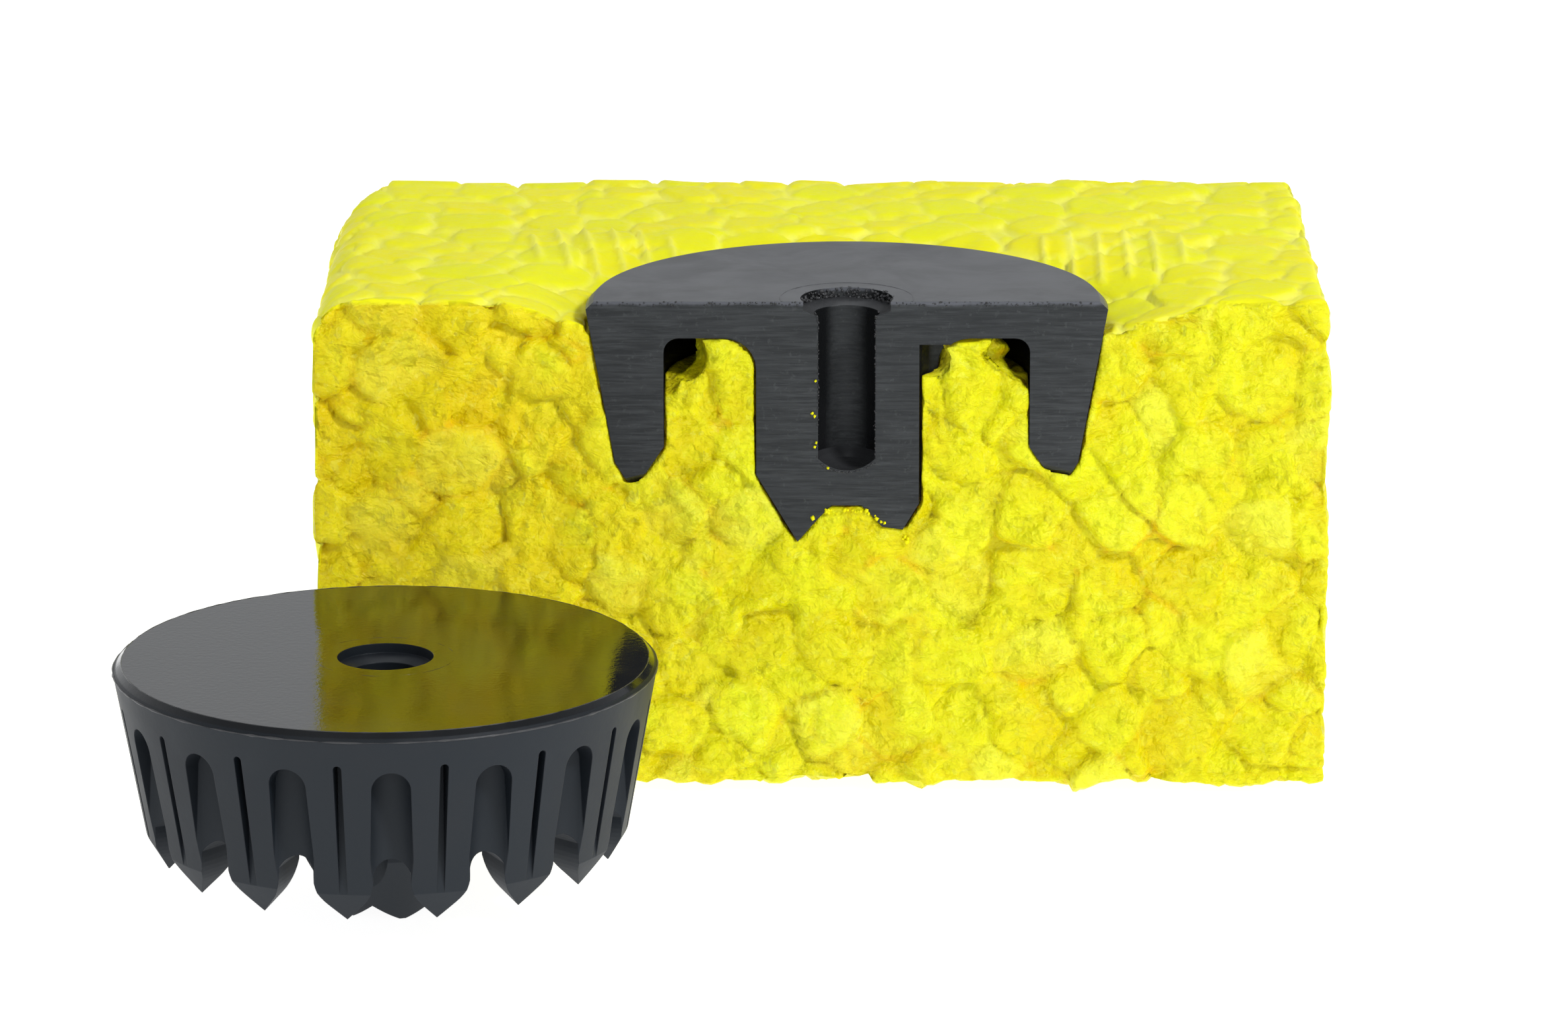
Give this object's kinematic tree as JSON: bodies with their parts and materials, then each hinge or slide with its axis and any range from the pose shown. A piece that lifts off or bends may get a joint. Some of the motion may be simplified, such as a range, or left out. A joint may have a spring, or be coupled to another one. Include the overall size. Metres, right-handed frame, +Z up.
{
  "type": "foam insert section sample",
  "caption": "Section sample of a toothed plastic screw insert: a half insert seated flush in a sawn bead foam block, and the same insert whole, standing on its crown.",
  "frame": {"origin": "middle of the block's underside, on the surface that everything stands on", "axes": "+Z up, away from that surface; -Y out of the block's sawn front face; +X along that face, to the right as it is looked at"},
  "size_m": [0.0825, 0.0821, 0.0356],
  "materials": {
    "bead_foam": "matte",
    "sawn_plastic": "matte",
    "moulded_plastic": "satin"
  },
  "bodies": {
    "foam_block": {"foam_block": "bead_foam"},
    "cut_insert": {"cut_insert": "sawn_plastic"},
    "whole_insert": {"whole_insert": "moulded_plastic"}
  },
  "joints": [
    {"name": "cut_insert_lift", "type": "slide", "parent": "foam_block", "child": "cut_insert", "axis": [0, 0, 1], "range_m": [0, 0.025]},
    {"name": "whole_insert_lift", "type": "slide", "parent": "foam_block", "child": "whole_insert", "axis": [0, 0, 1], "range_m": [0, 0.04]}
  ]
}
